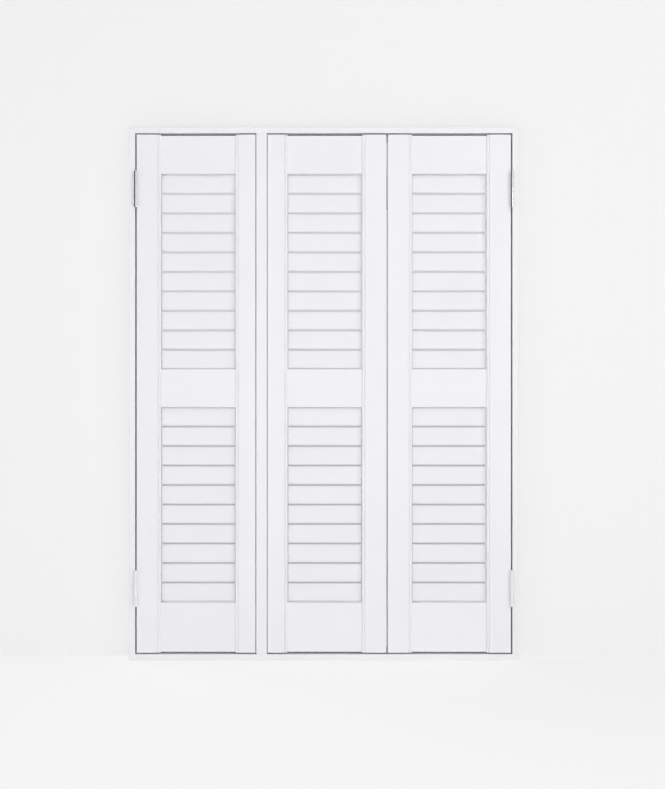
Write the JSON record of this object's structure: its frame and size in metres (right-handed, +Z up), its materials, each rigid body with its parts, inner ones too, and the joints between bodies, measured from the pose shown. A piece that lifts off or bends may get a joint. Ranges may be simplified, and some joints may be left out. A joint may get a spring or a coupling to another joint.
{
  "type": "louvred shutters",
  "caption": "Interior louvred shutters in their frame: one panel hinged on the left post, two folding panels on the right post, tilting louvres.",
  "frame": {"origin": "middle of the sill's underside, at half the frame's depth", "axes": "+X to the right as seen from the room, +Y towards the window, +Z up"},
  "size_m": [0.818, 0.0579, 1.12],
  "materials": {
    "painted_frame": "white satin paint on wood",
    "painted_panel": "white satin paint on wood",
    "painted_louvre": "white satin paint on wood",
    "bright_hinge": "polished plate",
    "painted_hinge": "white paint on steel",
    "steel_pin": "drawn steel",
    "link_aluminium": "mill finish"
  },
  "bodies": {
    "frame": {"frame_left_post": "painted_frame", "frame_right_post": "painted_frame", "frame_sill": "painted_frame", "frame_head": "painted_frame", "frame_t_post": "painted_frame", "frame_lower_hinge_leaves": "painted_hinge", "frame_upper_hinge_leaves": "bright_hinge", "frame_hinge_pins": "steel_pin"},
    "left_panel": {"left_hinge_stile": "painted_panel", "left_closing_stile": "painted_panel", "left_rails": "painted_panel", "left_lower_louvres": "painted_louvre", "left_lower_hinge_leaf": "painted_hinge", "left_upper_hinge_leaf": "bright_hinge"},
    "right_panel": {"right_fold_stile": "painted_panel", "right_hinge_stile": "painted_panel", "right_rails": "painted_panel", "right_lower_louvres": "painted_louvre", "right_lower_hinge_leaf": "painted_hinge", "right_upper_hinge_leaf": "bright_hinge", "right_fold_hinge_leaves": "painted_hinge", "fold_hinge_pins": "steel_pin"},
    "middle_panel": {"middle_closing_stile": "painted_panel", "middle_fold_stile": "painted_panel", "middle_rails": "painted_panel", "middle_lower_louvres": "painted_louvre", "middle_fold_hinge_leaves": "painted_hinge"},
    "left_louvre_01": {"left_louvre_01": "painted_louvre"},
    "left_louvre_02": {"left_louvre_02": "painted_louvre"},
    "left_louvre_03": {"left_louvre_03": "painted_louvre"},
    "left_louvre_04": {"left_louvre_04": "painted_louvre"},
    "left_louvre_05": {"left_louvre_05": "painted_louvre"},
    "left_louvre_06": {"left_louvre_06": "painted_louvre"},
    "left_louvre_07": {"left_louvre_07": "painted_louvre"},
    "left_louvre_08": {"left_louvre_08": "painted_louvre"},
    "left_louvre_09": {"left_louvre_09": "painted_louvre"},
    "left_louvre_10": {"left_louvre_10": "painted_louvre"},
    "left_tilt_link": {"left_tilt_link": "link_aluminium"},
    "middle_louvre_01": {"middle_louvre_01": "painted_louvre"},
    "middle_louvre_02": {"middle_louvre_02": "painted_louvre"},
    "middle_louvre_03": {"middle_louvre_03": "painted_louvre"},
    "middle_louvre_04": {"middle_louvre_04": "painted_louvre"},
    "middle_louvre_05": {"middle_louvre_05": "painted_louvre"},
    "middle_louvre_06": {"middle_louvre_06": "painted_louvre"},
    "middle_louvre_07": {"middle_louvre_07": "painted_louvre"},
    "middle_louvre_08": {"middle_louvre_08": "painted_louvre"},
    "middle_louvre_09": {"middle_louvre_09": "painted_louvre"},
    "middle_louvre_10": {"middle_louvre_10": "painted_louvre"},
    "middle_tilt_link": {"middle_tilt_link": "link_aluminium"},
    "right_louvre_01": {"right_louvre_01": "painted_louvre"},
    "right_louvre_02": {"right_louvre_02": "painted_louvre"},
    "right_louvre_03": {"right_louvre_03": "painted_louvre"},
    "right_louvre_04": {"right_louvre_04": "painted_louvre"},
    "right_louvre_05": {"right_louvre_05": "painted_louvre"},
    "right_louvre_06": {"right_louvre_06": "painted_louvre"},
    "right_louvre_07": {"right_louvre_07": "painted_louvre"},
    "right_louvre_08": {"right_louvre_08": "painted_louvre"},
    "right_louvre_09": {"right_louvre_09": "painted_louvre"},
    "right_louvre_10": {"right_louvre_10": "painted_louvre"},
    "right_tilt_link": {"right_tilt_link": "link_aluminium"}
  },
  "joints": [
    {"name": "left_hinge", "type": "hinge", "parent": "frame", "child": "left_panel", "pos_m": [-0.3948, -0.0291, 0.56], "axis": [0, 0, -1], "range_deg": [0, 180]},
    {"name": "right_hinge", "type": "hinge", "parent": "frame", "child": "right_panel", "pos_m": [0.3948, -0.0291, 0.56], "axis": [0, 0, 1], "range_deg": [0, 180]},
    {"name": "fold_hinge", "type": "hinge", "parent": "right_panel", "child": "middle_panel", "pos_m": [0.13303, 0.0081, 0.56], "axis": [0, 0, 1], "range_deg": [-180, 0]},
    {"name": "left_tilt_01", "type": "hinge", "parent": "left_panel", "child": "left_louvre_01", "pos_m": [-0.26392, -0.01, 1.00212], "axis": [1, 0, 0], "range_deg": [0, 165]},
    {"name": "left_tilt_02", "type": "hinge", "parent": "left_panel", "child": "left_louvre_02", "pos_m": [-0.26392, -0.01, 0.96098], "axis": [1, 0, 0], "range_deg": [0, 165]},
    {"name": "left_tilt_03", "type": "hinge", "parent": "left_panel", "child": "left_louvre_03", "pos_m": [-0.26392, -0.01, 0.91983], "axis": [1, 0, 0], "range_deg": [0, 165]},
    {"name": "left_tilt_04", "type": "hinge", "parent": "left_panel", "child": "left_louvre_04", "pos_m": [-0.26392, -0.01, 0.87867], "axis": [1, 0, 0], "range_deg": [0, 165]},
    {"name": "left_tilt_05", "type": "hinge", "parent": "left_panel", "child": "left_louvre_05", "pos_m": [-0.26392, -0.01, 0.83752], "axis": [1, 0, 0], "range_deg": [0, 165]},
    {"name": "left_tilt_06", "type": "hinge", "parent": "left_panel", "child": "left_louvre_06", "pos_m": [-0.26392, -0.01, 0.79638], "axis": [1, 0, 0], "range_deg": [0, 165]},
    {"name": "left_tilt_07", "type": "hinge", "parent": "left_panel", "child": "left_louvre_07", "pos_m": [-0.26392, -0.01, 0.75523], "axis": [1, 0, 0], "range_deg": [0, 165]},
    {"name": "left_tilt_08", "type": "hinge", "parent": "left_panel", "child": "left_louvre_08", "pos_m": [-0.26392, -0.01, 0.71408], "axis": [1, 0, 0], "range_deg": [0, 165]},
    {"name": "left_tilt_09", "type": "hinge", "parent": "left_panel", "child": "left_louvre_09", "pos_m": [-0.26392, -0.01, 0.67292], "axis": [1, 0, 0], "range_deg": [0, 165]},
    {"name": "left_tilt_10", "type": "hinge", "parent": "left_panel", "child": "left_louvre_10", "pos_m": [-0.26392, -0.01, 0.63177], "axis": [1, 0, 0], "range_deg": [0, 165]},
    {"name": "left_link_pivot", "type": "hinge", "parent": "left_louvre_01", "child": "left_tilt_link", "pos_m": [-0.3521, -0.00909, 0.99518], "axis": [1, 0, 0], "range_deg": [-165, 0]},
    {"name": "middle_tilt_01", "type": "hinge", "parent": "middle_panel", "child": "middle_louvre_01", "pos_m": [0.00215, -0.01, 1.00212], "axis": [1, 0, 0], "range_deg": [0, 165]},
    {"name": "middle_tilt_02", "type": "hinge", "parent": "middle_panel", "child": "middle_louvre_02", "pos_m": [0.00215, -0.01, 0.96098], "axis": [1, 0, 0], "range_deg": [0, 165]},
    {"name": "middle_tilt_03", "type": "hinge", "parent": "middle_panel", "child": "middle_louvre_03", "pos_m": [0.00215, -0.01, 0.91983], "axis": [1, 0, 0], "range_deg": [0, 165]},
    {"name": "middle_tilt_04", "type": "hinge", "parent": "middle_panel", "child": "middle_louvre_04", "pos_m": [0.00215, -0.01, 0.87867], "axis": [1, 0, 0], "range_deg": [0, 165]},
    {"name": "middle_tilt_05", "type": "hinge", "parent": "middle_panel", "child": "middle_louvre_05", "pos_m": [0.00215, -0.01, 0.83752], "axis": [1, 0, 0], "range_deg": [0, 165]},
    {"name": "middle_tilt_06", "type": "hinge", "parent": "middle_panel", "child": "middle_louvre_06", "pos_m": [0.00215, -0.01, 0.79638], "axis": [1, 0, 0], "range_deg": [0, 165]},
    {"name": "middle_tilt_07", "type": "hinge", "parent": "middle_panel", "child": "middle_louvre_07", "pos_m": [0.00215, -0.01, 0.75523], "axis": [1, 0, 0], "range_deg": [0, 165]},
    {"name": "middle_tilt_08", "type": "hinge", "parent": "middle_panel", "child": "middle_louvre_08", "pos_m": [0.00215, -0.01, 0.71408], "axis": [1, 0, 0], "range_deg": [0, 165]},
    {"name": "middle_tilt_09", "type": "hinge", "parent": "middle_panel", "child": "middle_louvre_09", "pos_m": [0.00215, -0.01, 0.67292], "axis": [1, 0, 0], "range_deg": [0, 165]},
    {"name": "middle_tilt_10", "type": "hinge", "parent": "middle_panel", "child": "middle_louvre_10", "pos_m": [0.00215, -0.01, 0.63177], "axis": [1, 0, 0], "range_deg": [0, 165]},
    {"name": "middle_link_pivot", "type": "hinge", "parent": "middle_louvre_01", "child": "middle_tilt_link", "pos_m": [0.09033, -0.00909, 0.99518], "axis": [1, 0, 0], "range_deg": [-165, 0]},
    {"name": "right_tilt_01", "type": "hinge", "parent": "right_panel", "child": "right_louvre_01", "pos_m": [0.26392, -0.01, 1.00212], "axis": [1, 0, 0], "range_deg": [0, 165]},
    {"name": "right_tilt_02", "type": "hinge", "parent": "right_panel", "child": "right_louvre_02", "pos_m": [0.26392, -0.01, 0.96098], "axis": [1, 0, 0], "range_deg": [0, 165]},
    {"name": "right_tilt_03", "type": "hinge", "parent": "right_panel", "child": "right_louvre_03", "pos_m": [0.26392, -0.01, 0.91983], "axis": [1, 0, 0], "range_deg": [0, 165]},
    {"name": "right_tilt_04", "type": "hinge", "parent": "right_panel", "child": "right_louvre_04", "pos_m": [0.26392, -0.01, 0.87867], "axis": [1, 0, 0], "range_deg": [0, 165]},
    {"name": "right_tilt_05", "type": "hinge", "parent": "right_panel", "child": "right_louvre_05", "pos_m": [0.26392, -0.01, 0.83752], "axis": [1, 0, 0], "range_deg": [0, 165]},
    {"name": "right_tilt_06", "type": "hinge", "parent": "right_panel", "child": "right_louvre_06", "pos_m": [0.26392, -0.01, 0.79638], "axis": [1, 0, 0], "range_deg": [0, 165]},
    {"name": "right_tilt_07", "type": "hinge", "parent": "right_panel", "child": "right_louvre_07", "pos_m": [0.26392, -0.01, 0.75523], "axis": [1, 0, 0], "range_deg": [0, 165]},
    {"name": "right_tilt_08", "type": "hinge", "parent": "right_panel", "child": "right_louvre_08", "pos_m": [0.26392, -0.01, 0.71408], "axis": [1, 0, 0], "range_deg": [0, 165]},
    {"name": "right_tilt_09", "type": "hinge", "parent": "right_panel", "child": "right_louvre_09", "pos_m": [0.26392, -0.01, 0.67292], "axis": [1, 0, 0], "range_deg": [0, 165]},
    {"name": "right_tilt_10", "type": "hinge", "parent": "right_panel", "child": "right_louvre_10", "pos_m": [0.26392, -0.01, 0.63177], "axis": [1, 0, 0], "range_deg": [0, 165]},
    {"name": "right_link_pivot", "type": "hinge", "parent": "right_louvre_01", "child": "right_tilt_link", "pos_m": [0.3521, -0.00909, 0.99518], "axis": [1, 0, 0], "range_deg": [-165, 0]}
  ],
  "couplings": [
    {"joint": "fold_hinge", "follows": "right_hinge", "ratio": -1},
    {"joint": "left_tilt_02", "follows": "left_tilt_01", "ratio": 1},
    {"joint": "left_tilt_03", "follows": "left_tilt_01", "ratio": 1},
    {"joint": "left_tilt_04", "follows": "left_tilt_01", "ratio": 1},
    {"joint": "left_tilt_05", "follows": "left_tilt_01", "ratio": 1},
    {"joint": "left_tilt_06", "follows": "left_tilt_01", "ratio": 1},
    {"joint": "left_tilt_07", "follows": "left_tilt_01", "ratio": 1},
    {"joint": "left_tilt_08", "follows": "left_tilt_01", "ratio": 1},
    {"joint": "left_tilt_09", "follows": "left_tilt_01", "ratio": 1},
    {"joint": "left_tilt_10", "follows": "left_tilt_01", "ratio": 1},
    {"joint": "left_link_pivot", "follows": "left_tilt_01", "ratio": -1},
    {"joint": "middle_tilt_02", "follows": "middle_tilt_01", "ratio": 1},
    {"joint": "middle_tilt_03", "follows": "middle_tilt_01", "ratio": 1},
    {"joint": "middle_tilt_04", "follows": "middle_tilt_01", "ratio": 1},
    {"joint": "middle_tilt_05", "follows": "middle_tilt_01", "ratio": 1},
    {"joint": "middle_tilt_06", "follows": "middle_tilt_01", "ratio": 1},
    {"joint": "middle_tilt_07", "follows": "middle_tilt_01", "ratio": 1},
    {"joint": "middle_tilt_08", "follows": "middle_tilt_01", "ratio": 1},
    {"joint": "middle_tilt_09", "follows": "middle_tilt_01", "ratio": 1},
    {"joint": "middle_tilt_10", "follows": "middle_tilt_01", "ratio": 1},
    {"joint": "middle_link_pivot", "follows": "middle_tilt_01", "ratio": -1},
    {"joint": "right_tilt_02", "follows": "right_tilt_01", "ratio": 1},
    {"joint": "right_tilt_03", "follows": "right_tilt_01", "ratio": 1},
    {"joint": "right_tilt_04", "follows": "right_tilt_01", "ratio": 1},
    {"joint": "right_tilt_05", "follows": "right_tilt_01", "ratio": 1},
    {"joint": "right_tilt_06", "follows": "right_tilt_01", "ratio": 1},
    {"joint": "right_tilt_07", "follows": "right_tilt_01", "ratio": 1},
    {"joint": "right_tilt_08", "follows": "right_tilt_01", "ratio": 1},
    {"joint": "right_tilt_09", "follows": "right_tilt_01", "ratio": 1},
    {"joint": "right_tilt_10", "follows": "right_tilt_01", "ratio": 1},
    {"joint": "right_link_pivot", "follows": "right_tilt_01", "ratio": -1}
  ]
}
